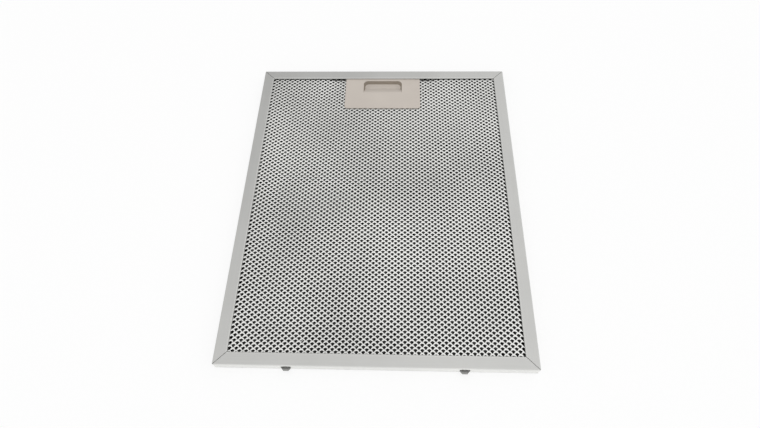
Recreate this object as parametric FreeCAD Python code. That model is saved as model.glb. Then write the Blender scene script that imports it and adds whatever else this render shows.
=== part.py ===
import FreeCAD
import Part
import os
from math import cos, hypot, pi, sin

# Cooker hood grease filter: a pack of expanded aluminium in a folded channel frame, with a latch handle.
# X runs across the filter, Y towards the handle edge and Z out of the front face.
# The origin is the middle of the rear face. All sizes are in millimetres.

Vector = FreeCAD.Vector

# Frame strip
frame_width = 260.0
frame_length = 320.0
frame_depth = 9.0
frame_sheet = 0.5
flange_width = 10.7
fold_inner_radius = 0.3
lip_turn = 0.3
lip_edge = 0.1
corner_radius = 1.6
mitre_gap = 0.35

# Hooks lanced out of the end web opposite the handle
hook_inner_side = 67.2
hook_root_width = 8.1
hook_tip_inset = 2.0
hook_tip_width = 4.1
hook_reach = 2.4
hook_level = 2.4
hook_window_height = 3.6

# Expanded sheets: a coarse net of diamonds stands for the fine openings, and counts of diamonds set its pitch
mesh_depth = 0.6
mesh_columns = 9
mesh_rows = 14
mesh_foot_share = 0.87
mesh_pit_floor = 0.12
mesh_edge_strip = 1.5
mesh_rim_sheet = 0.4

# Creased foil layers inside the pack
layer_count = 5
foil_sheet = 0.2
crease_pitch = 24.0
pack_clearance = 0.5
seat_gap = 0.05

# Handle plate and finger scoop
plate_width = 80.0
plate_reach = 51.5
plate_thickness = 1.1
plate_drop = 0.5
plate_corner = 2.8
plate_edge_round = 0.6
scoop_width = 41.0
scoop_far_inset = 13.5
scoop_length = 17.3
scoop_wall_run = 1.2
scoop_flat = 5.6
scoop_side_draft = 1.4
scoop_corner = 4.6
scoop_floor_round = 1.4
ramp_ease = 0.3
ramp_ease_steps = 3
scoop_shell = 1.0

# Latch bolt, its travel and the guide hooks under the plate
latch_travel = 5.0
plate_cover = 1.7
slide_clearance = 0.3
bolt_width = 24.0
bolt_thickness = 2.2
bolt_reach = 3.6
bolt_chamfer_run = 3.0
bolt_nose = 0.7
bolt_clearance = 0.4
rib_thickness = 1.2
rib_spacing = 16.0
leg_thickness = 1.2
leg_length = 6.0
leg_inset = 8.0
barb_height = 1.4
barb_drop = 2.0
barb_tip_gap = 0.3

# Guide tray in the notch of the pack
notch_cover = 4.5
tray_clearance = 0.2
tray_wall = 1.2
tray_floor = 0.6

# Latch springs
spring_room = 6.7
spring_radius = 1.6
spring_wire = 0.45
spring_turns = 6
spring_turn_steps = 12
spigot_clearance = 0.3
spigot_length = 2.0
seat_inset = 0.8
seat_margin = 0.8
seat_thickness = 1.2

# Levels, from the rear face to the front face
fold_radius = fold_inner_radius + frame_sheet
lip_height = frame_sheet + lip_turn
lip_radius = lip_height - lip_edge
rear_mesh_low = lip_height + seat_gap
rear_mesh_top = rear_mesh_low + mesh_depth
tray_low = rear_mesh_top + seat_gap
tray_floor_top = tray_low + tray_floor
bolt_low = tray_floor_top + slide_clearance
bolt_top = bolt_low + bolt_thickness
scoop_floor = bolt_low + scoop_shell
plate_top = frame_depth - lip_height - plate_drop
plate_low = plate_top - plate_thickness
barb_top = plate_low - barb_drop
tray_top = plate_low - slide_clearance
front_mesh_top = plate_low - slide_clearance
front_mesh_low = front_mesh_top - mesh_depth
layer_room = front_mesh_low - rear_mesh_top - seat_gap
layer_height = layer_room / layer_count - seat_gap
spring_level = (tray_floor_top + plate_low) / 2
flange_under = frame_depth - frame_sheet - seat_gap

# Places across the filter, from the middle outwards
half_width = frame_width / 2
window_half_width = half_width - flange_width
pack_half_width = half_width - frame_sheet - pack_clearance
scoop_half = scoop_width / 2
shell_half = scoop_half + scoop_shell
leg_inner = shell_half + spring_room
leg_outer = leg_inner + leg_thickness
tray_half = leg_outer + slide_clearance + tray_wall
notch_half = tray_half + tray_clearance
spring_x = (shell_half + leg_inner) / 2
seat_half = spring_room / 2 - seat_margin

# Places along the filter
half_length = frame_length / 2
window_half_length = half_length - flange_width
mesh_pitch_x = 2 * (window_half_width - mesh_edge_strip) / mesh_columns
mesh_pitch_y = 2 * (window_half_length - mesh_edge_strip) / mesh_rows
pack_half_length = half_length - frame_sheet - pack_clearance
plate_near = half_length - plate_reach
plate_far = window_half_length + latch_travel + plate_cover
notch_near = plate_near + notch_cover
tray_near = notch_near + tray_clearance
tray_inside = tray_near + tray_wall
tray_far = half_length - frame_sheet - tray_clearance
scoop_far = half_length - scoop_far_inset
scoop_near = scoop_far - scoop_length
bolt_tip = half_length + bolt_reach
leg_far = scoop_far - leg_inset
leg_near = leg_far - leg_length
seat_near = scoop_near + seat_inset

# Reach of a cutter past the faces that it cuts, and slack for comparing places
past = 1.0
slack = 1e-4


def block(x_low, x_high, y_low, y_high, z_low, z_high):
    corner = Vector(x_low, y_low, z_low)
    return Part.makeBox(x_high - x_low, y_high - y_low, z_high - z_low, corner)


def centred_block(half_x, half_y, z_low, z_high):
    return block(-half_x, half_x, -half_y, half_y, z_low, z_high)


def flat_face(corners):
    return Part.Face(Part.makePolygon(corners + corners[:1]))


def extrude_along_x(points, x_low, x_high):
    """Extrude a closed outline of (y, z) points from x_low to x_high."""
    face = flat_face([Vector(x_low, y, z) for y, z in points])
    return face.extrude(Vector(x_high - x_low, 0, 0))


def extrude_along_y(points, y_low, y_high):
    """Extrude a closed outline of (x, z) points from y_low to y_high."""
    face = flat_face([Vector(x, y_low, z) for x, z in points])
    return face.extrude(Vector(0, y_high - y_low, 0))


def extrude_up(points, z_low, z_high):
    """Extrude a closed outline of (x, y) points from z_low to z_high."""
    face = flat_face([Vector(x, y, z_low) for x, y in points])
    return face.extrude(Vector(0, 0, z_high - z_low))


def upright_edges(shape):
    return [edge for edge in shape.Edges
            if edge.BoundBox.ZLength > max(edge.BoundBox.XLength, edge.BoundBox.YLength)]


def level_edges(shape, level):
    """Edges that lie wholly at one height."""
    return [edge for edge in shape.Edges
            if abs(edge.BoundBox.ZMin - level) < slack and abs(edge.BoundBox.ZMax - level) < slack]


def mirrored_pair(shape):
    return [shape, shape.mirror(Vector(0, 0, 0), Vector(1, 0, 0))]


def window_edges(shape, level):
    """The edges of the window's rim at one height."""
    reach_x = window_half_width + slack
    reach_y = window_half_length + slack
    return [edge for edge in level_edges(shape, level)
            if abs(edge.CenterOfMass.x) < reach_x and abs(edge.CenterOfMass.y) < reach_y]


def mitre_cutters():
    """Thin cuts along the four mitre lines, front and rear, and a full cut at the seam corner."""
    run = hypot(flange_width, flange_width) + 2 * past
    depth = lip_height + seat_gap
    cutters = []
    for x_side in (-1, 1):
        for y_side in (-1, 1):
            corner = Vector(x_side * window_half_width, y_side * window_half_length, 0)
            spans = [(frame_depth - depth, frame_depth + past), (-past, depth)]
            if x_side > 0 and y_side > 0:
                spans = [(-past, frame_depth + past)]
            for low, high in spans:
                cutter = Part.makeBox(run, mitre_gap, high - low, Vector(-past, -mitre_gap / 2, low))
                turn = 45 * y_side if x_side > 0 else 180 - 45 * y_side
                cutter.rotate(Vector(0, 0, 0), Vector(0, 0, 1), turn)
                cutter.translate(corner)
                cutters.append(cutter)
    return cutters


def hook_tongue():
    """One hook, bent outwards from the lower edge of its window in the near end web."""
    web_inside = -half_length + frame_sheet
    tip = -half_length - hook_reach
    root_end = hook_inner_side + hook_root_width
    tip_start = hook_inner_side + hook_tip_inset
    outline = [(hook_inner_side, web_inside), (root_end, web_inside), (root_end, -half_length),
               (tip_start + hook_tip_width, tip), (tip_start, tip), (hook_inner_side, -half_length)]
    return extrude_up(outline, hook_level, hook_level + frame_sheet)


def hook_window():
    low = hook_level + frame_sheet
    return block(hook_inner_side, hook_inner_side + hook_root_width, -half_length - past,
                 -half_length + frame_sheet + past, low, low + hook_window_height)


def bolt_window():
    half = bolt_width / 2 + bolt_clearance
    return block(-half, half, half_length - frame_sheet - past, half_length + past,
                 bolt_low - bolt_clearance, bolt_top + bolt_clearance)


def make_frame_channel():
    """The folded strip: web all round, front and rear flanges, turned lips, hooks and latch window."""
    channel = centred_block(half_width, half_length, 0, frame_depth)
    channel = channel.makeFillet(fold_radius, level_edges(channel, 0) + level_edges(channel, frame_depth))
    rounded = centred_block(half_width, half_length, -past, frame_depth + past)
    channel = channel.common(rounded.makeFillet(corner_radius, upright_edges(rounded)))
    channel = channel.cut(centred_block(half_width - frame_sheet, half_length - frame_sheet,
                                        frame_sheet, frame_depth - frame_sheet))
    lip_x = window_half_width + frame_sheet
    lip_y = window_half_length + frame_sheet
    lips = [centred_block(lip_x, lip_y, frame_depth - lip_height, frame_depth - frame_sheet / 2),
            centred_block(lip_x, lip_y, frame_sheet / 2, lip_height)]
    channel = channel.multiFuse(lips)
    channel = channel.cut(centred_block(window_half_width, window_half_length, -past, frame_depth + past))
    channel = channel.removeSplitter()
    channel = channel.makeFillet(lip_radius, window_edges(channel, frame_depth) + window_edges(channel, 0))
    channel = channel.multiFuse(mirrored_pair(hook_tongue()))
    return channel.cut(mirrored_pair(hook_window()) + [bolt_window()] + mitre_cutters())


def diamond(x, y, z, share):
    """The four corners of a diamond cell about (x, y), shrunk to a share of its full size."""
    reach_x = share * mesh_pitch_x / 2
    reach_y = share * mesh_pitch_y / 2
    return [Vector(x - reach_x, y, z), Vector(x, y - reach_y, z), Vector(x + reach_x, y, z),
            Vector(x, y + reach_y, z)]


def diamond_centres():
    """The middle of each diamond of the net, and whether it is open."""
    places = []
    for row in range(1, 2 * mesh_rows):
        is_gap = row % 2 == 0
        first = 2 if is_gap else 1
        for place in range(first, 2 * mesh_columns, 2):
            x = (place - mesh_columns) * mesh_pitch_x / 2
            y = (row - mesh_rows) * mesh_pitch_y / 2
            places.append((x, y, is_gap))
    return places


def make_expanded_sheet(low):
    """A sheet with a diamond net of sharp ridges on its upper side, open in every second row of diamonds."""
    top = low + mesh_depth
    faces = []
    gaps = []
    for x, y, is_gap in diamond_centres():
        crest = diamond(x, y, top, 1.0)
        foot = diamond(x, y, low if is_gap else low + mesh_pit_floor, mesh_foot_share)
        for side in range(4):
            after = (side + 1) % 4
            faces.append(flat_face([crest[side], crest[after], foot[after], foot[side]]))
        if is_gap:
            gaps.append(flat_face(foot))
        else:
            faces.append(flat_face(foot))
    faces += border_triangles(top)
    faces += flat_face(outer_corners(top)).cut(flat_face(net_border(top))).Faces
    faces += flat_face(outer_corners(low)).cut(Part.makeCompound(gaps)).Faces
    upper = outer_corners(top)
    lower = outer_corners(low)
    for side in range(4):
        after = (side + 1) % 4
        faces.append(flat_face([upper[side], upper[after], lower[after], lower[side]]))
    shell = Part.makeShell(faces)
    shell.sewShape()
    return Part.makeSolid(shell)


def outer_corners(level):
    """The corners of a sheet of the pack at one height."""
    x = pack_half_width
    y = pack_half_length
    return [Vector(-x, -y, level), Vector(x, -y, level), Vector(x, y, level), Vector(-x, y, level)]


def net_border(level):
    """The rectangle round the net, with a point wherever a diamond's corner meets it."""
    reach_x = mesh_columns * mesh_pitch_x / 2
    reach_y = mesh_rows * mesh_pitch_y / 2
    points = [Vector(-reach_x, -reach_y, level)]
    points += [Vector(-reach_x + (i + 0.5) * mesh_pitch_x, -reach_y, level) for i in range(mesh_columns)]
    points.append(Vector(reach_x, -reach_y, level))
    points += [Vector(reach_x, -reach_y + (j + 0.5) * mesh_pitch_y, level) for j in range(mesh_rows)]
    return points + [Vector(-point.x, -point.y, level) for point in points]


def border_triangles(level):
    """Flat triangles that fill the net between its outermost diamonds and its border."""
    faces = []
    border = net_border(level)
    reach_x = mesh_columns * mesh_pitch_x / 2
    reach_y = mesh_rows * mesh_pitch_y / 2
    for start, end in zip(border, border[1:] + border[:1]):
        middle_x = (start.x + end.x) / 2
        middle_y = (start.y + end.y) / 2
        along_x = abs(start.y - end.y) < slack
        whole = abs(end.x - start.x) if along_x else abs(end.y - start.y)
        full = mesh_pitch_x if along_x else mesh_pitch_y
        if whole < full - slack:
            continue
        inward = Vector(middle_x, middle_y, level)
        if along_x:
            inward.y -= (1 if middle_y > 0 else -1) * mesh_pitch_y / 2
        else:
            inward.x -= (1 if middle_x > 0 else -1) * mesh_pitch_x / 2
        faces.append(flat_face([start, end, inward]))
    for x_side in (-1, 1):
        for y_side in (-1, 1):
            corner = Vector(x_side * reach_x, y_side * reach_y, level)
            along = Vector(corner.x - x_side * mesh_pitch_x / 2, corner.y, level)
            across = Vector(corner.x, corner.y - y_side * mesh_pitch_y / 2, level)
            faces.append(flat_face([corner, along, across]))
    return faces


def notch_cutter(low, high):
    return block(-notch_half, notch_half, notch_near, half_length, low - past, high + past)


def make_front_mesh():
    """The front sheet, with its border turned up to the front flange and a notch for the handle."""
    rim = centred_block(pack_half_width, pack_half_length, front_mesh_low, flange_under)
    rim = rim.cut(centred_block(pack_half_width - mesh_rim_sheet, pack_half_length - mesh_rim_sheet,
                                front_mesh_low - past, flange_under + past))
    sheet = make_expanded_sheet(front_mesh_low).fuse(rim)
    return sheet.cut(notch_cutter(front_mesh_low, flange_under))


def make_rear_mesh():
    """The rear sheet, whole, with its ridges on the rear side."""
    middle = Vector(0, 0, (rear_mesh_low + rear_mesh_top) / 2)
    return make_expanded_sheet(rear_mesh_low).mirror(middle, Vector(0, 0, 1))


def crease_outline(half_run, low):
    """Closed outline of a creased foil as (run, height) points."""
    count = round(2 * half_run / crease_pitch)
    pitch = 2 * half_run / count
    rise = layer_height - foil_sheet
    wave = [(-half_run + half * pitch / 2, low + rise * (half % 2)) for half in range(2 * count + 1)]
    upper = [(run, height + foil_sheet) for run, height in reversed(wave)]
    return wave + upper


def make_filter_layer(index):
    low = rear_mesh_top + seat_gap + index * (layer_height + seat_gap)
    if index % 2:
        layer = extrude_along_y(crease_outline(pack_half_width, low), -pack_half_length, pack_half_length)
    else:
        layer = extrude_along_x(crease_outline(pack_half_length, low), -pack_half_width, pack_half_width)
    return layer.cut(notch_cutter(low, low + layer_height))


def spigot(y, direction):
    """A short pin that centres the end of a spring."""
    radius = spring_radius - spring_wire / 2 - spigot_clearance
    start = Vector(spring_x, y, spring_level)
    return Part.makeCylinder(radius, spigot_length, start, Vector(0, direction, 0))


def make_guide_tray():
    """The tray: floor, three walls, slots for the guide hooks and ears that bear on the front flange."""
    inside = tray_half - tray_wall
    tray = block(-tray_half, tray_half, tray_near, tray_far, tray_low, tray_top)
    tray = tray.cut(block(-inside, inside, tray_inside, tray_far + past, tray_floor_top, tray_top + past))
    ear = block(inside, tray_half, plate_far + slide_clearance, tray_far, tray_top - tray_wall, flange_under)
    tray = tray.multiFuse(mirrored_pair(ear) + mirrored_pair(spigot(tray_inside, 1)))
    slot = block(inside - past, tray_half + past,
                 leg_near - latch_travel - slide_clearance, leg_far + slide_clearance,
                 barb_top - barb_height - slide_clearance, barb_top + slide_clearance)
    return tray.cut(mirrored_pair(slot))


def ramp_fall(share):
    """How far the scoop's ramp has fallen at a share of its run: level at the plate, then straight."""
    if share < ramp_ease:
        fall = share * share / (2 * ramp_ease)
    else:
        fall = share - ramp_ease / 2
    return fall / (1 - ramp_ease / 2)


def scoop_form(grow):
    """The finger scoop's hollow, or the outside of its shell when grown by a wall thickness."""
    floor = scoop_floor - grow
    foot_far = scoop_far - scoop_wall_run
    foot_near = foot_far - scoop_flat
    shares = [1] + [ramp_ease * step / ramp_ease_steps for step in range(ramp_ease_steps, -1, -1)]
    ramp = [(scoop_near + share * (foot_near - scoop_near),
             plate_top - ramp_fall(share) * (plate_top - scoop_floor) - grow) for share in shares]
    far = scoop_far + grow
    top = plate_top + past
    outline = [(far, top), (far, plate_top), (foot_far + grow, floor)] + ramp + [(scoop_near, top)]
    half = scoop_half + grow
    foot_half = half - scoop_side_draft
    sides = [(-half, top), (-half, plate_top), (-foot_half, floor), (foot_half, floor), (half, plate_top),
             (half, top)]
    form = extrude_along_x(outline, -half, half)
    form = form.common(extrude_along_y(sides, scoop_near - past, far + past))
    corner_edges = [edge for edge in form.Edges
                    if edge.BoundBox.YMin > foot_far - slack and abs(edge.CenterOfMass.x) > foot_half - slack
                    and edge.BoundBox.ZLength > slack]
    form = form.makeFillet(scoop_corner + grow, corner_edges)
    far_edge = max(level_edges(form, floor), key=lambda edge: edge.CenterOfMass.y)
    return form.makeFillet(scoop_floor_round + grow, [far_edge])


def make_handle_plate():
    half = plate_width / 2
    plate = block(-half, half, plate_near, plate_far, plate_low, plate_top)
    near_corners = [edge for edge in upright_edges(plate) if edge.CenterOfMass.y < plate_near + slack]
    plate = plate.makeFillet(plate_corner, near_corners)
    rounded = [edge for edge in level_edges(plate, plate_top) if edge.CenterOfMass.y < plate_far - slack]
    return plate.makeFillet(plate_edge_round, rounded)


def make_bolt():
    """The latch bolt, with its rear edge sloped so that it springs in when the filter is pushed home."""
    outline = [(scoop_far, bolt_low), (bolt_tip - bolt_chamfer_run, bolt_low),
               (bolt_tip, bolt_top - bolt_nose), (bolt_tip, bolt_top), (scoop_far, bolt_top)]
    return extrude_along_x(outline, -bolt_width / 2, bolt_width / 2)


def make_guide_hook():
    """A springy leg under the plate with a barb that runs in the tray's slot."""
    leg = block(leg_inner, leg_outer, leg_near, leg_far, barb_top - barb_height, plate_low)
    barb_tip = tray_half - barb_tip_gap
    barb = extrude_along_y([(leg_outer, barb_top), (barb_tip, barb_top), (leg_outer, barb_top - barb_height)],
                           leg_near, leg_far)
    return leg.fuse(barb)


def make_spring_seat():
    wall = block(spring_x - seat_half, spring_x + seat_half, seat_near, seat_near + seat_thickness,
                 bolt_low, plate_low)
    return wall.fuse(spigot(seat_near, -1))


def make_bolt_rib():
    middle = rib_spacing / 2
    return block(middle - rib_thickness / 2, middle + rib_thickness / 2, scoop_far, plate_far,
                 bolt_top, plate_low)


def make_handle_slide():
    """The handle in one moulding: plate, scoop, bolt and its ribs, guide hooks and spring seats."""
    below_top = block(-plate_width, plate_width, plate_near - past, bolt_tip, 0, plate_top)
    shell = scoop_form(scoop_shell).common(below_top)
    pieces = [shell, make_bolt()]
    for side_piece in (make_bolt_rib(), make_guide_hook(), make_spring_seat()):
        pieces += mirrored_pair(side_piece)
    return make_handle_plate().multiFuse(pieces).cut(scoop_form(0)).removeSplitter()


def make_latch_spring():
    """A coil of square wire along Y, in short straight runs, from the tray's near wall to the spring seat."""
    half = spring_wire / 2
    start = tray_inside + half + seat_gap
    run = seat_near - half - seat_gap - start
    steps = spring_turns * spring_turn_steps
    sections = []
    for step in range(steps + 1):
        angle = 2 * pi * step / spring_turn_steps
        y = start + run * step / steps
        corners = []
        for radius, shift in ((-half, -half), (half, -half), (half, half), (-half, half)):
            reach = spring_radius + radius
            across = reach * cos(angle)
            up = reach * sin(angle)
            corners.append(Vector(spring_x + across, y + shift, spring_level + up))
        sections.append(Part.makePolygon(corners + corners[:1]))
    return Part.makeLoft(sections, True, True)


def write_part(name, shape):
    shape.exportStep("parts/" + name + ".step")
    print(name, "solids", len(shape.Solids), "valid", shape.isValid(), "volume", round(shape.Volume, 2))


def main():
    os.makedirs("parts", exist_ok=True)
    write_part("frame_channel", make_frame_channel())
    write_part("front_mesh", make_front_mesh())
    write_part("rear_mesh", make_rear_mesh())
    for index in range(layer_count):
        write_part("filter_layer_" + str(index + 1), make_filter_layer(index))
    write_part("guide_tray", make_guide_tray())
    write_part("handle_slide", make_handle_slide())
    spring_right, spring_left = mirrored_pair(make_latch_spring())
    write_part("latch_spring_right", spring_right)
    write_part("latch_spring_left", spring_left)


main()
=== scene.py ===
from math import cos, sin, tau
import bpy
from mathutils import Matrix, Vector


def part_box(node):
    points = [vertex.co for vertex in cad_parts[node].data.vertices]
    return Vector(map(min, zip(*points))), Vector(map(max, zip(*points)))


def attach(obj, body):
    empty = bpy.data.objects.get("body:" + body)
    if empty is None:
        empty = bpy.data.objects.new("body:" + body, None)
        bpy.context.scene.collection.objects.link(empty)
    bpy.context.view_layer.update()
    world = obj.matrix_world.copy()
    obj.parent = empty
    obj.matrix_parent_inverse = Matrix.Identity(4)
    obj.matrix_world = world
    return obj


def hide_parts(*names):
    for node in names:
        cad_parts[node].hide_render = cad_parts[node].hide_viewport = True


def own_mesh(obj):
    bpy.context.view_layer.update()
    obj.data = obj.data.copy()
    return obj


# Looks of a cooker hood grease filter: satin aluminium frame, expanded aluminium sheets and
# a plastic latch handle.
# Places are in metres in the part's own frame: X across, Y towards the handle edge, Z out of the front face.

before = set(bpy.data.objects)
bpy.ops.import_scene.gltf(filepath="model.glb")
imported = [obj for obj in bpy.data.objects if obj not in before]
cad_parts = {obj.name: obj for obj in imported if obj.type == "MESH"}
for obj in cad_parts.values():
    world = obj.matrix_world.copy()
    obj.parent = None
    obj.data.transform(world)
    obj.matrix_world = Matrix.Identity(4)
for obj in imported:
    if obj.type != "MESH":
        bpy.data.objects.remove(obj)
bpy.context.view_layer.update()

MM = 0.001

# Camera: the photograph's width and focal length in pixels, the sensor in millimetres, the near clip in
# metres, and where the camera stood and looked
IMAGE_WIDTH = 760
FOCAL_PIXELS = 511.1
SENSOR_WIDTH = 36.0
NEAR_CLIP = 0.01
CAMERA_PLACE = Vector((16.9, -254.9, 417.5)) * MM
CAMERA_FORWARD = Vector((-0.034, 0.497, -0.867))
CAMERA_RIGHT = Vector((0.999, 0.024, -0.025))

# Expanded sheet: pitch, skew and place of the openings, the metal's thickness, an opening's size from its
# middle, how far its near tip rises and its far arch drops, and how the sheet rises towards the flanges
PITCH_X = 5.57 * MM
PITCH_Y = 4.39 * MM
SHEET_SKEW = 0.004
SHEET_SHIFT = (-1.2 * MM, -0.75 * MM)
SHEET_THICKNESS = 0.22 * MM
OPENING_HALF_WIDTH = 1.84 * MM
OPENING_FAR = 1.50 * MM
OPENING_NEAR = 2.00 * MM
CREST_RISE = 0.30 * MM
ARCH_DROP = 0.32 * MM
EDGE_RISE = 1.5 * MM
EDGE_RUN = 28.0 * MM

# How far beside the handle plate the rise to the far flange starts, and how far the knots between the
# openings lie over the lowest point of the front solid and under the highest point of the rear one
PLATE_MARGIN = 2.0 * MM
FRONT_SEAT = 0.36 * MM
REAR_SEAT = 0.35 * MM

# Right side of an opening from its near tip to its far arch, as shares of its half width, of its reach
# (near if negative, far if positive) and of its height (crest if positive, arch if negative)
OPENING_SIDE = ((0.0, -1.0, 1.0), (0.52, -0.50, 0.45), (1.0, 0.30, -0.10), (0.68, 0.84, -0.72),
                (0.0, 1.0, -1.0))

# Frame: half sizes, widths of the painted highlights on hem and fold, flange, and the sheets' reach under it
FRAME_HALF_WIDTH = 130.0 * MM
FRAME_HALF_LENGTH = 160.0 * MM
HEM_WIDTH = 1.5 * MM
FOLD_WIDTH = 0.9 * MM
FLANGE_WIDTH = 10.7 * MM
UNDER_FLANGE = 2.0 * MM

# Inner nets: a coarser mesh, turned a quarter in every second layer, a little lower than its solid
NET_COUNT = 5
NET_PITCH = (10.2 * MM, 8.1 * MM)
NET_OPENING_SHARE = 0.54
NET_THICKNESS = 0.20 * MM
NET_CLEARANCE = 0.15 * MM

# Latch springs: round wire in even turns
SPRING_WIRE = 0.45 * MM
SPRING_TURNS = 6
SPRING_TURN_STEPS = 28
SPRING_WIRE_SIDES = 10

# Tints of the finishes, linear
FRAME_TINT = (0.585, 0.585, 0.569, 1.0)
MESH_TINT = (0.87, 0.872, 0.85, 1.0)
# The foil's dark tint is painted shade for the dimness deep inside the pack
FOIL_PAINTED_SHADE_TINT = (0.043, 0.043, 0.042, 1.0)
PLASTIC_TINT = (0.556, 0.503, 0.451, 1.0)

# Noises of the finishes: scale per metre, detail and roughness. The streaks are stretched besides.
STREAK_NOISE = (1.0, 3.0, 0.6)
FRAME_CLOUDS = (16.0, 4.0, 0.6)
FRAME_SPECKS = (1800.0, 3.0, 0.7)
MESH_CLOUDS = (9.0, 2.0, 0.5)
MESH_SPECKS = (900.0, 3.0, 0.6)
PLASTIC_CLOUDS = (40.0, 2.0, 0.5)
PLASTIC_GRAIN = (2600.0, 4.0, 0.6)
STEEL_GRAIN = (1500.0, 2.0, 0.5)
FLOOR_GRAIN = (300.0, 2.0, 0.5)

# Ends of the range that a noise is stretched over, and what the finishes have at those ends:
# gain of the tint, grey level, or roughness
NOISE_ENDS = (0.3, 0.7)
MESH_GAINS = (0.88, 1.08)
PLASTIC_GAINS = (0.97, 1.02)
STEEL_GREYS = (0.34, 0.48)
FLOOR_GREYS = (0.965, 0.98)
FRAME_ROUGHNESS = (0.34, 0.46)
MESH_ROUGHNESS = (0.22, 0.36)
FOIL_ROUGHNESS = (0.45, 0.6)
PLASTIC_ROUGHNESS = (0.46, 0.60)
STEEL_ROUGHNESS = (0.22, 0.36)

# Bumps of the finishes: strength, and depth in metres
FRAME_BUMP = (0.22, 0.02 * MM)
MESH_BUMP = (0.3, 0.05 * MM)
PLASTIC_BUMP = (0.2, 0.03 * MM)

# The frame's metal: streaks per metre across and along a rail, what clouds, streaks and the painted edge
# highlights add to its tone, the tint's gain at tones of NOISE_ENDS and 1, and the shares of streaks in its
# roughness, of specks in its bump and of the full painted highlight in a hem's or fold's half width
STREAKS_ACROSS = 2200.0
STREAKS_ALONG = 14.0
TONE_WEIGHTS = (0.6, 0.4, 0.22)
TONE_GAINS = (0.93, 1.06, 1.22)
STREAK_SHARE = 0.5
SPECK_SHARE = 0.35
FULL_BAND_SHARE = 0.6

# Painted light makes the frame's webs brighter than its flanges, painted shade makes the turned lips at the
# window darker, and painted shade darkens the sheared hooks, which start this far beyond the web
WEB_COSINES = (0.2, 0.7)
WEB_PAINTED_LIGHT_GAIN = 1.32
LIP_PAINTED_SHADE_GAIN = 0.40
HOOK_PAINTED_SHADE_GAIN = 0.62
HOOK_START = 0.05 * MM

# Finger scoop: the slope of its steep walls, the painted shade on them, and the box that holds it
SCOOP_COSINES = (0.45, 0.85)
SCOOP_PAINTED_SHADE_TINT = (0.26, 0.222, 0.180, 1.0)
SCOOP_HALF_WIDTH = 21.0 * MM
SCOOP_MIDDLE = 138.0 * MM
SCOOP_HALF_LENGTH = 9.5 * MM

# Light: the dome's level, how it changes along Y and Z, its dip overhead on the camera's side, how it leans
# to the right low down on the far side, and its bright rim
DOME_LEVEL = 0.90
DOME_SLOPE = (-0.25, 0.13)
OVERHEAD_DIP = 0.30
DIP_SINES = (0.75, 0.96)
DIP_REACH = (0.0, 0.25)
DOME_LEAN = 10.0
DOME_LEAN_LIMIT = 0.25
DOME_LEAN_SINES = (0.1, 0.5)
HORIZON_LEVEL = 0.95
HORIZON_SINES = (0.10, 0.20)

# Floor: how white it shows, its roughness, half its size and how far it lies under the filter, in metres
FLOOR_WHITE_SHARE = 0.7
FLOOR_ROUGHNESS = 0.9
FLOOR_REACH = 6.0
FLOOR_DROP = 0.2 * MM

# Top softbox: power in watts, place and size in metres
TOP_POWER = 0.8
TOP_PLACE = (0.05, -0.45, 1.6)
TOP_SIZE = (1.0, 0.8)

# Faces that meet at more than this angle, in radians, keep a sharp edge
SHARP_ANGLE = 0.6


# Small helpers for node materials

def new_material(name):
    material = bpy.data.materials.new(name)
    material.use_nodes = True
    tree = material.node_tree
    shader = tree.nodes["Principled BSDF"]
    return material, tree, shader


def add_node(tree, kind, **inputs):
    node = tree.nodes.new(kind)
    for socket, value in inputs.items():
        node.inputs[socket.replace("_", " ")].default_value = value
    return node


def object_coordinates(tree, scale=(1.0, 1.0, 1.0)):
    """Object coordinates stretched by a scale on each axis."""
    coordinates = tree.nodes.new("ShaderNodeTexCoord")
    mapping = tree.nodes.new("ShaderNodeMapping")
    mapping.inputs["Scale"].default_value = scale
    tree.links.new(coordinates.outputs["Object"], mapping.inputs["Vector"])
    return mapping.outputs["Vector"]


def noise(tree, vector, scale, detail, roughness):
    node = add_node(tree, "ShaderNodeTexNoise", Scale=scale, Detail=detail, Roughness=roughness)
    tree.links.new(vector, node.inputs["Vector"])
    return node.outputs["Fac"]


def ramp(tree, factor, stops):
    """A colour ramp from a list of (position, colour) stops."""
    node = tree.nodes.new("ShaderNodeValToRGB")
    elements = node.color_ramp.elements
    while len(elements) < len(stops):
        elements.new(0.5)
    for element, (position, colour) in zip(elements, stops):
        element.position = position
        element.color = colour
    tree.links.new(factor, node.inputs["Fac"])
    return node.outputs["Color"]


def grey(level):
    return (level, level, level, 1.0)


def shade(tint, factor):
    return (tint[0] * factor, tint[1] * factor, tint[2] * factor, 1.0)


def grey_range(tree, factor, levels):
    """A grey that goes from the first level to the second over a noise's range."""
    return ramp(tree, factor, [(end, grey(level)) for end, level in zip(NOISE_ENDS, levels)])


def tint_range(tree, factor, tint, gains):
    """A tint that goes from the first gain to the second over a noise's range."""
    return ramp(tree, factor, [(end, shade(tint, gain)) for end, gain in zip(NOISE_ENDS, gains)])


def bump(tree, shader, height, strength, distance):
    node = add_node(tree, "ShaderNodeBump", Strength=strength, Distance=distance)
    tree.links.new(height, node.inputs["Height"])
    tree.links.new(node.outputs["Normal"], shader.inputs["Normal"])


def split(tree, vector):
    """The X, Y and Z sockets of a vector socket."""
    node = tree.nodes.new("ShaderNodeSeparateXYZ")
    tree.links.new(vector, node.inputs["Vector"])
    return node.outputs


def feed(tree, sockets, values):
    """Link each value that is a socket, and set each that is a number."""
    for socket, value in zip(sockets, values):
        if isinstance(value, (int, float)):
            socket.default_value = value
        else:
            tree.links.new(value, socket)


def math_node(tree, operation, first, second):
    """A sum, product or the like of two sockets, or of a socket and a number."""
    node = tree.nodes.new("ShaderNodeMath")
    node.operation = operation
    feed(tree, node.inputs, (first, second))
    return node.outputs["Value"]


def mix_by(tree, factor, first, second):
    """A float that goes from the first socket to the second as the factor goes from 0 to 1."""
    node = tree.nodes.new("ShaderNodeMix")
    node.data_type = "FLOAT"
    feed(tree, node.inputs[0:1] + node.inputs[2:4], (factor, first, second))
    return node.outputs[0]


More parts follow.
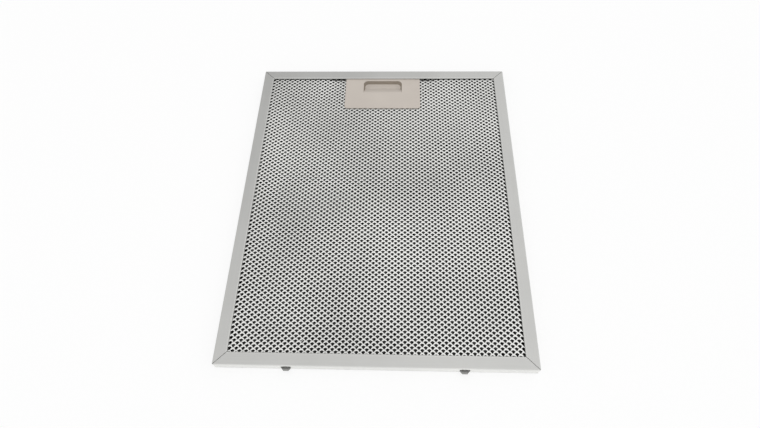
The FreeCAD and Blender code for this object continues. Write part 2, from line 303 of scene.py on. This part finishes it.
def fade(tree, value, between, levels=(0.0, 1.0)):
    """A smooth change from the first level to the second as a value goes from one limit to the other."""
    node = add_node(tree, "ShaderNodeMapRange", From_Min=between[0], From_Max=between[1],
                    To_Min=levels[0], To_Max=levels[1])
    node.interpolation_type = "SMOOTHSTEP"
    tree.links.new(value, node.inputs["Value"])
    return node.outputs["Result"]


def distance_from(tree, value, middle):
    return math_node(tree, "ABSOLUTE", math_node(tree, "SUBTRACT", value, middle), 0.0)


def band(tree, value, middle, half_width):
    """1 in the middle of a band, falling smoothly to 0 at half a width from it."""
    core = FULL_BAND_SHARE * half_width
    return fade(tree, distance_from(tree, value, middle), (core, half_width), (1.0, 0.0))


def steepness(tree, between):
    """0 on level faces and 1 on upright ones, with the change between two cosines of the slope."""
    geometry = tree.nodes.new("ShaderNodeNewGeometry")
    parts = split(tree, geometry.outputs["Normal"])
    level = math_node(tree, "ABSOLUTE", parts["Z"], 0.0)
    return fade(tree, level, between, (1.0, 0.0))


def scaled_colour(tree, colour, factor):
    """A colour socket times a float socket."""
    node = tree.nodes.new("ShaderNodeVectorMath")
    node.operation = "SCALE"
    tree.links.new(colour, node.inputs[0])
    tree.links.new(factor, node.inputs["Scale"])
    return node.outputs["Vector"]


def mix_colours(tree, factor, first, second):
    """A colour that goes from a socket's colour to a fixed one as the factor goes from 0 to 1."""
    node = tree.nodes.new("ShaderNodeMixRGB")
    node.inputs["Color2"].default_value = second
    tree.links.new(factor, node.inputs["Fac"])
    tree.links.new(first, node.inputs["Color1"])
    return node.outputs["Color"]


# Materials

def satin_aluminium():
    """Rolled strip: fine streaks along each rail, soft cloudiness, painted highlights along hem and fold,
    and painted light and shade on webs, lips and hooks.
    """
    material, tree, shader = new_material("satin_aluminium")
    shader.inputs["Metallic"].default_value = 1.0
    coordinates = tree.nodes.new("ShaderNodeTexCoord")
    parts = split(tree, coordinates.outputs["Object"])
    across = math_node(tree, "ABSOLUTE", parts["X"], 0.0)
    along = math_node(tree, "ABSOLUTE", parts["Y"], 0.0)
    from_side = math_node(tree, "SUBTRACT", FRAME_HALF_WIDTH, across)
    from_end = math_node(tree, "SUBTRACT", FRAME_HALF_LENGTH, along)
    is_end_rail = math_node(tree, "LESS_THAN", from_end, from_side)
    from_edge = math_node(tree, "MINIMUM", from_side, from_end)
    side_stretch = (STREAKS_ACROSS, STREAKS_ALONG, STREAKS_ACROSS)
    end_stretch = (STREAKS_ALONG, STREAKS_ACROSS, STREAKS_ACROSS)
    side_streak = noise(tree, object_coordinates(tree, side_stretch), *STREAK_NOISE)
    end_streak = noise(tree, object_coordinates(tree, end_stretch), *STREAK_NOISE)
    streak = mix_by(tree, is_end_rail, side_streak, end_streak)
    cloud = noise(tree, coordinates.outputs["Object"], *FRAME_CLOUDS)
    speck = noise(tree, coordinates.outputs["Object"], *FRAME_SPECKS)
    # Painted highlights along the hem at the window and the fold at the outer edge, where rounded edges
    # catch light
    hem = band(tree, from_edge, FLANGE_WIDTH - 0.5 * HEM_WIDTH, 0.5 * HEM_WIDTH)
    fold = band(tree, from_edge, 0.0, FOLD_WIDTH)
    painted_edge_highlight = math_node(tree, "MAXIMUM", hem, fold)
    tone = 0.0
    for part, weight in zip((cloud, streak, painted_edge_highlight), TONE_WEIGHTS):
        tone = math_node(tree, "ADD", math_node(tree, "MULTIPLY", part, weight), tone)
    stops = zip((*NOISE_ENDS, 1.0), TONE_GAINS)
    tint = ramp(tree, tone, [(position, shade(FRAME_TINT, gain)) for position, gain in stops])
    # Painted light on the upright webs and painted shade on the turned lips at the window
    upright = steepness(tree, WEB_COSINES)
    is_lip = math_node(tree, "GREATER_THAN", from_edge, 0.5 * FLANGE_WIDTH)
    painted_light_and_shade = mix_by(tree, upright, 1.0, mix_by(tree, is_lip, WEB_PAINTED_LIGHT_GAIN, LIP_PAINTED_SHADE_GAIN))
    # Painted shade on the sheared hooks beyond the web
    beyond_web = math_node(tree, "LESS_THAN", from_end, -HOOK_START)
    painted_light_and_shade = mix_by(tree, beyond_web, painted_light_and_shade, HOOK_PAINTED_SHADE_GAIN)
    tree.links.new(scaled_colour(tree, tint, painted_light_and_shade), shader.inputs["Base Color"])
    rough = grey_range(tree, mix_by(tree, STREAK_SHARE, speck, streak), FRAME_ROUGHNESS)
    tree.links.new(rough, shader.inputs["Roughness"])
    height = mix_by(tree, SPECK_SHARE, streak, speck)
    bump(tree, shader, height, *FRAME_BUMP)
    return material


def mesh_aluminium(name, tint, roughness):
    """Thin sheet metal with soft clouds and a little scatter from strand to strand."""
    material, tree, shader = new_material(name)
    shader.inputs["Metallic"].default_value = 1.0
    place = object_coordinates(tree)
    cloud = noise(tree, place, *MESH_CLOUDS)
    speck = noise(tree, place, *MESH_SPECKS)
    colour = tint_range(tree, cloud, tint, MESH_GAINS)
    tree.links.new(colour, shader.inputs["Base Color"])
    rough = grey_range(tree, speck, roughness)
    tree.links.new(rough, shader.inputs["Roughness"])
    bump(tree, shader, speck, *MESH_BUMP)
    return material


def handle_plastic():
    """Moulded plastic with a fine spark texture, and painted shade on the steep walls of the finger scoop.
    """
    material, tree, shader = new_material("handle_plastic")
    place = object_coordinates(tree)
    grain = noise(tree, place, *PLASTIC_GRAIN)
    cloud = noise(tree, place, *PLASTIC_CLOUDS)
    colour = tint_range(tree, cloud, PLASTIC_TINT, PLASTIC_GAINS)
    parts = split(tree, place)
    in_scoop = 1.0
    for axis, middle, half in (("X", 0.0, SCOOP_HALF_WIDTH), ("Y", SCOOP_MIDDLE, SCOOP_HALF_LENGTH)):
        within = math_node(tree, "LESS_THAN", distance_from(tree, parts[axis], middle), half)
        in_scoop = math_node(tree, "MULTIPLY", within, in_scoop)
    # Painted shade on the steep walls of the finger scoop
    painted_wall_shade = math_node(tree, "MULTIPLY", steepness(tree, SCOOP_COSINES), in_scoop)
    tree.links.new(mix_colours(tree, painted_wall_shade, colour, SCOOP_PAINTED_SHADE_TINT), shader.inputs["Base Color"])
    rough = grey_range(tree, grain, PLASTIC_ROUGHNESS)
    tree.links.new(rough, shader.inputs["Roughness"])
    bump(tree, shader, grain, *PLASTIC_BUMP)
    return material


def spring_steel():
    material, tree, shader = new_material("spring_steel")
    shader.inputs["Metallic"].default_value = 1.0
    place = object_coordinates(tree)
    drawn = noise(tree, place, *STEEL_GRAIN)
    colour = grey_range(tree, drawn, STEEL_GREYS)
    tree.links.new(colour, shader.inputs["Base Color"])
    rough = grey_range(tree, drawn, STEEL_ROUGHNESS)
    tree.links.new(rough, shader.inputs["Roughness"])
    return material


# Expanded sheets

def opening_outline():
    """One opening from its near tip round to the right: a fan with its broad arch on the far side."""
    right_side = []
    for across, along, rise in OPENING_SIDE:
        reach = OPENING_FAR if along > 0 else OPENING_NEAR
        height = CREST_RISE if rise > 0 else ARCH_DROP
        right_side.append((across * OPENING_HALF_WIDTH, along * reach, rise * height))
    left_side = [(-x, y, z) for x, y, z in right_side[-2:0:-1]]
    return right_side + left_side


def smooth_step(value):
    value = min(max(value, 0.0), 1.0)
    return value * value * (3.0 - 2.0 * value)


def mesh_object(name, points, faces):
    """A smooth-shaded object that keeps its sharp edges."""
    mesh = bpy.data.meshes.new(name)
    mesh.from_pydata(points, [], faces)
    mesh.update()
    mesh.polygons.foreach_set("use_smooth", [True] * len(mesh.polygons))
    mesh.set_sharp_from_angle(angle=SHARP_ANGLE)
    piece = bpy.data.objects.new(name, mesh)
    bpy.context.scene.collection.objects.link(piece)
    return piece


class SheetMesh:
    """Points and faces of a closed perforated sheet that share the knots between the openings."""

    def __init__(self, side):
        self.side = side
        self.points = []
        self.faces = []
        self.knots = {}
        self.border = set()

    def add_point(self, place):
        self.points.append(place)
        return len(self.points) - 1

    def knot(self, key, place):
        if key not in self.knots:
            self.knots[key] = self.add_point(place)
        return self.knots[key]

    def add_face(self, indices):
        self.faces.append(indices if self.side > 0 else indices[::-1])

    def pass_edge(self, start, end):
        """Cells that share an edge pass it in opposite directions, so only the border's edges stay."""
        if (end, start) in self.border:
            self.border.remove((end, start))
        else:
            self.border.add((start, end))

    def close_border(self):
        """Join the front layer to the back one along the border."""
        for start, end in sorted(self.border):
            front_start, back_start = [self.knots[(*start, layer)] for layer in (0, 1)]
            front_end, back_end = [self.knots[(*end, layer)] for layer in (0, 1)]
            self.add_face((front_end, front_start, back_start, back_end))

    def make_object(self, name):
        self.close_border()
        return mesh_object(name, self.points, self.faces)


def expanded_sheet(name, half_x, half_y, height, side, skip):
    """A closed sheet of staggered fan openings that faces the front (side 1) or the rear (side -1)."""
    sheet = SheetMesh(side)
    outline = opening_outline()
    count = len(outline)
    step_x = PITCH_X / 2
    step_y = PITCH_Y / 2
    columns = int(half_x / step_x)
    rows = int(half_y / step_y)

    def place(x, y, rise):
        x_here = x + SHEET_SHIFT[0]
        y_here = y + SHEET_SHIFT[1] + SHEET_SKEW * x
        return (x_here, y_here, height(x_here, y_here) + side * rise)

    for v in range(-rows, rows + 1):
        for u in range(-columns, columns + 1):
            x = u * step_x
            y = v * step_y
            if (u + v) % 2 or skip(x, y):
                continue
            front = [sheet.add_point(place(x + dx, y + dy, dz)) for dx, dy, dz in outline]
            back = [sheet.add_point(place(x + dx, y + dy, dz - SHEET_THICKNESS))
                    for dx, dy, dz in outline[::2]]
            corners = []
            around = [(u, v - 1), (u + 1, v), (u, v + 1), (u - 1, v)]
            for layer, drop in ((0, 0.0), (1, -SHEET_THICKNESS)):
                corners.append([sheet.knot((a, b, layer), place(a * step_x, b * step_y, drop))
                                for a, b in around])
            for index in range(4):
                after = (index + 1) % 4
                near, far = corners[0][index], corners[0][after]
                sheet.pass_edge(around[index], around[after])
                first, middle, last = front[2 * index], front[2 * index + 1], front[(2 * index + 2) % count]
                sheet.add_face((near, middle, first))
                sheet.add_face((near, far, middle))
                sheet.add_face((far, last, middle))
                sheet.add_face((first, middle, back[index]))
                sheet.add_face((middle, back[after], back[index]))
                sheet.add_face((middle, last, back[after]))
                sheet.add_face((corners[1][after], corners[1][index], back[index]))
                sheet.add_face((corners[1][after], back[index], back[after]))
    return sheet.make_object(name)


def inner_net(name, half_x, half_y, low, high, turned, skip):
    """A coarse creased net of thin ribbon between two levels, its creases turned a quarter if asked."""
    sheet = SheetMesh(1)
    pitch_x, pitch_y = NET_PITCH[::-1] if turned else NET_PITCH
    step_x = pitch_x / 2
    step_y = pitch_y / 2
    columns = int(half_x / step_x)
    rows = int(half_y / step_y)
    room = high - low - NET_THICKNESS

    def level(a, b):
        ridge = a if turned else b
        return low + NET_THICKNESS + (room if ridge % 2 else 0.0)

    around = [(0, -1), (1, 0), (0, 1), (-1, 0)]
    for v in range(-rows, rows + 1):
        for u in range(-columns, columns + 1):
            x = u * step_x
            y = v * step_y
            if (u + v) % 2 or skip(x, y):
                continue
            rims = []
            corners = []
            for layer, drop in ((0, 0.0), (1, -NET_THICKNESS)):
                rim = []
                ring = []
                middle = sum(level(u + a, v + b) for a, b in around) / 4
                for a, b in around:
                    z = level(u + a, v + b)
                    inner_z = middle + (z - middle) * NET_OPENING_SHARE
                    rim_x = x + a * step_x * NET_OPENING_SHARE
                    rim_y = y + b * step_y * NET_OPENING_SHARE
                    rim.append(sheet.add_point((rim_x, rim_y, inner_z + drop)))
                    corner_place = (x + a * step_x, y + b * step_y, z + drop)
                    ring.append(sheet.knot((u + a, v + b, layer), corner_place))
                rims.append(rim)
                corners.append(ring)
            for index in range(4):
                after = (index + 1) % 4
                start, end = [(u + around[side][0], v + around[side][1]) for side in (index, after)]
                sheet.pass_edge(start, end)
                sheet.add_face((corners[0][index], corners[0][after], rims[0][after], rims[0][index]))
                sheet.add_face((corners[1][after], corners[1][index], rims[1][index], rims[1][after]))
                sheet.add_face((rims[0][index], rims[0][after], rims[1][after], rims[1][index]))
    return sheet.make_object(name)


def finish_piece(piece, material, body, node):
    piece.data.materials.append(material)
    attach(piece, body)
    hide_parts(node)


def build_meshes():
    bright = mesh_aluminium("mesh_aluminium", MESH_TINT, MESH_ROUGHNESS)
    # Painted shade: the inner nets take the dark foil tint
    painted_shade_foil = mesh_aluminium("foil_aluminium", FOIL_PAINTED_SHADE_TINT, FOIL_ROUGHNESS)
    frame_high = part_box("frame_channel")[1]
    tray_low, tray_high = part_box("guide_tray")
    plate_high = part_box("handle_slide")[1]
    window_x = frame_high[0] - FLANGE_WIDTH
    window_y = FRAME_HALF_LENGTH - FLANGE_WIDTH

    def in_notch(x, y):
        return abs(x) < tray_high[0] + PITCH_X / 2 and y > tray_low[1] - PITCH_Y / 2

    def edge_rise(x, y):
        beside = max(0.0, abs(x) - (window_x - EDGE_RUN)) / EDGE_RUN
        ends = max(0.0, abs(y) - (window_y - EDGE_RUN)) / EDGE_RUN
        if y > 0:
            ends *= smooth_step((abs(x) - plate_high[0] - PLATE_MARGIN) / EDGE_RUN)
        return EDGE_RISE * smooth_step(max(beside, ends))

    def front_height(x, y):
        return front_level + edge_rise(x, y)

    def rear_height(x, y):
        return rear_level

    def nowhere(x, y):
        return False

    front_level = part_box("front_mesh")[0][2] + FRONT_SEAT
    rear_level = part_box("rear_mesh")[1][2] - REAR_SEAT
    half_x = window_x + UNDER_FLANGE
    half_y = window_y + UNDER_FLANGE
    front = expanded_sheet("front_mesh_sheet", half_x, half_y, front_height, 1, in_notch)
    finish_piece(front, bright, "filter", "front_mesh")
    rear = expanded_sheet("rear_mesh_sheet", half_x, half_y, rear_height, -1, nowhere)
    finish_piece(rear, bright, "filter", "rear_mesh")
    for index in range(1, NET_COUNT + 1):
        node = f"filter_layer_{index}"
        low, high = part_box(node)
        top = high[2] - NET_CLEARANCE
        turned = index % 2 == 0
        net = inner_net(f"inner_net_{index}", half_x, half_y, low[2], top, turned, in_notch)
        finish_piece(net, painted_shade_foil, "filter", node)


# Latch springs

def coil_spring(name, low, high):
    """A coil of round wire along Y that fills the box between two corners."""
    half_wire = SPRING_WIRE / 2
    radius = (high[0] - low[0]) / 2 - half_wire
    middle_x = (low[0] + high[0]) / 2
    middle_z = (low[2] + high[2]) / 2
    start = low[1] + half_wire
    run = high[1] - low[1] - SPRING_WIRE
    steps = SPRING_TURNS * SPRING_TURN_STEPS
    climb = run / (SPRING_TURNS * tau * radius)
    points = []
    faces = []
    for step in range(steps + 1):
        angle = tau * step / SPRING_TURN_STEPS
        outward = Vector((cos(angle), 0.0, sin(angle)))
        tangent = Vector((-sin(angle), climb, cos(angle))).normalized()
        sideways = tangent.cross(outward)
        centre = Vector((middle_x, start + run * step / steps, middle_z)) + radius * outward
        for side in range(SPRING_WIRE_SIDES):
            turn = tau * side / SPRING_WIRE_SIDES
            points.append(centre + half_wire * (cos(turn) * outward + sin(turn) * sideways))
    for step in range(steps):
        for side in range(SPRING_WIRE_SIDES):
            here = step * SPRING_WIRE_SIDES
            ahead = here + SPRING_WIRE_SIDES
            after = (side + 1) % SPRING_WIRE_SIDES
            faces.append((here + side, here + after, ahead + after, ahead + side))
    last = steps * SPRING_WIRE_SIDES
    faces.append(tuple(range(SPRING_WIRE_SIDES))[::-1])
    faces.append(tuple(range(last, last + SPRING_WIRE_SIDES)))
    return mesh_object(name, points, faces)


def build_springs():
    steel = spring_steel()
    for hand in ("left", "right"):
        node = f"latch_spring_{hand}"
        low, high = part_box(node)
        spring = coil_spring(f"latch_coil_{hand}", low, high)
        finish_piece(spring, steel, "filter", node)
        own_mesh(spring)


# Finishes of the CAD nodes that stay

def dress_nodes():
    frame_metal = satin_aluminium()
    plastic = handle_plastic()
    finishes = {"frame_channel": frame_metal, "handle_slide": plastic, "guide_tray": plastic}
    for name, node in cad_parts.items():
        material = finishes.get(name)
        if material is None:
            continue
        node.data.materials.clear()
        node.data.materials.append(material)


# Stage: floor, lights and camera

def lift_to_white(tree, shader):
    """A share of the floor is plain white to the camera and in reflections, but not under the filter."""
    path = tree.nodes.new("ShaderNodeLightPath")
    seen = path.outputs["Is Camera Ray"]
    for kind in ("Is Glossy Ray", "Is Transmission Ray"):
        seen = math_node(tree, "MAXIMUM", seen, path.outputs[kind])
    coordinates = tree.nodes.new("ShaderNodeTexCoord")
    parts = split(tree, coordinates.outputs["Object"])
    outside = 0.0
    for axis, half in (("X", FRAME_HALF_WIDTH), ("Y", FRAME_HALF_LENGTH)):
        distance = math_node(tree, "ABSOLUTE", parts[axis], 0.0)
        outside = math_node(tree, "MAXIMUM", math_node(tree, "GREATER_THAN", distance, half), outside)
    share = math_node(tree, "MULTIPLY", math_node(tree, "MULTIPLY", seen, outside), FLOOR_WHITE_SHARE)
    white = add_node(tree, "ShaderNodeEmission", Strength=1.0)
    blend = tree.nodes.new("ShaderNodeMixShader")
    tree.links.new(share, blend.inputs["Fac"])
    tree.links.new(shader.outputs["BSDF"], blend.inputs[1])
    tree.links.new(white.outputs["Emission"], blend.inputs[2])
    tree.links.new(blend.outputs["Shader"], tree.nodes["Material Output"].inputs["Surface"])


def build_floor():
    material, tree, shader = new_material("floor_paper")
    shader.inputs["Roughness"].default_value = FLOOR_ROUGHNESS
    place = object_coordinates(tree)
    grain = noise(tree, place, *FLOOR_GRAIN)
    colour = grey_range(tree, grain, FLOOR_GREYS)
    tree.links.new(colour, shader.inputs["Base Color"])
    lift_to_white(tree, shader)
    mesh = bpy.data.meshes.new("floor")
    corners = [(-1, -1), (1, -1), (1, 1), (-1, 1)]
    mesh.from_pydata([(x * FLOOR_REACH, y * FLOOR_REACH, 0) for x, y in corners], [], [(0, 1, 2, 3)])
    floor = bpy.data.objects.new("floor", mesh)
    bpy.context.scene.collection.objects.link(floor)
    floor.data.materials.append(material)
    floor.location.z = -FLOOR_DROP


def area_light(name, place, target, size, energy):
    light = bpy.data.lights.new(name, "AREA")
    light.shape = "RECTANGLE"
    light.size = size[0]
    light.size_y = size[1]
    light.energy = energy
    lamp = bpy.data.objects.new(name, light)
    lamp.location = place
    direction = Vector(target) - Vector(place)
    lamp.rotation_euler = direction.to_track_quat("-Z", "Y").to_euler()
    bpy.context.scene.collection.objects.link(lamp)


def build_world():
    """A studio dome that is brighter towards the hooks, dips overhead and leans right on the far side."""
    world = bpy.data.worlds.new("studio")
    bpy.context.scene.world = world
    world.use_nodes = True
    tree = world.node_tree
    background = tree.nodes["Background"]
    background.inputs["Color"].default_value = (1.0, 1.0, 1.0, 1.0)
    coordinates = tree.nodes.new("ShaderNodeTexCoord")
    parts = split(tree, coordinates.outputs["Generated"])
    below_top = math_node(tree, "SUBTRACT", 1.0, parts["Z"])
    lean = math_node(tree, "MULTIPLY", parts["X"], math_node(tree, "MULTIPLY", below_top, below_top))
    lean = math_node(tree, "MULTIPLY", lean, DOME_LEAN)
    lean = math_node(tree, "MAXIMUM", math_node(tree, "MINIMUM", lean, DOME_LEAN_LIMIT), -DOME_LEAN_LIMIT)
    lean = math_node(tree, "MULTIPLY", lean, fade(tree, parts["Y"], DOME_LEAN_SINES))
    level = math_node(tree, "ADD", lean, DOME_LEVEL)
    for axis, slope in zip("YZ", DOME_SLOPE):
        level = math_node(tree, "ADD", level, math_node(tree, "MULTIPLY", parts[axis], slope))
    towards_camera = math_node(tree, "MULTIPLY", parts["Y"], -1.0)
    dip = math_node(tree, "MULTIPLY", fade(tree, parts["Z"], DIP_SINES, (0.0, OVERHEAD_DIP)),
                    fade(tree, towards_camera, DIP_REACH))
    level = math_node(tree, "SUBTRACT", level, dip)
    horizon = fade(tree, parts["Z"], HORIZON_SINES, (HORIZON_LEVEL, 0.0))
    strength = math_node(tree, "MAXIMUM", level, horizon)
    tree.links.new(strength, background.inputs["Strength"])


def build_lights():
    area_light("top_softbox", TOP_PLACE, (0, 0, 0), TOP_SIZE, TOP_POWER)


def build_camera():
    data = bpy.data.cameras.new("camera")
    data.sensor_fit = "HORIZONTAL"
    data.sensor_width = SENSOR_WIDTH
    data.lens = FOCAL_PIXELS / IMAGE_WIDTH * SENSOR_WIDTH
    data.clip_start = NEAR_CLIP
    camera = bpy.data.objects.new("camera", data)
    bpy.context.scene.collection.objects.link(camera)
    back = -CAMERA_FORWARD.normalized()
    up = back.cross(CAMERA_RIGHT).normalized()
    right = up.cross(back)
    turn = Matrix((right, up, back)).transposed().to_4x4()
    camera.matrix_world = Matrix.Translation(CAMERA_PLACE) @ turn
    bpy.context.scene.camera = camera


build_meshes()
build_springs()
dress_nodes()
build_floor()
build_world()
build_lights()
build_camera()
bpy.context.scene.view_settings.view_transform = "Standard"
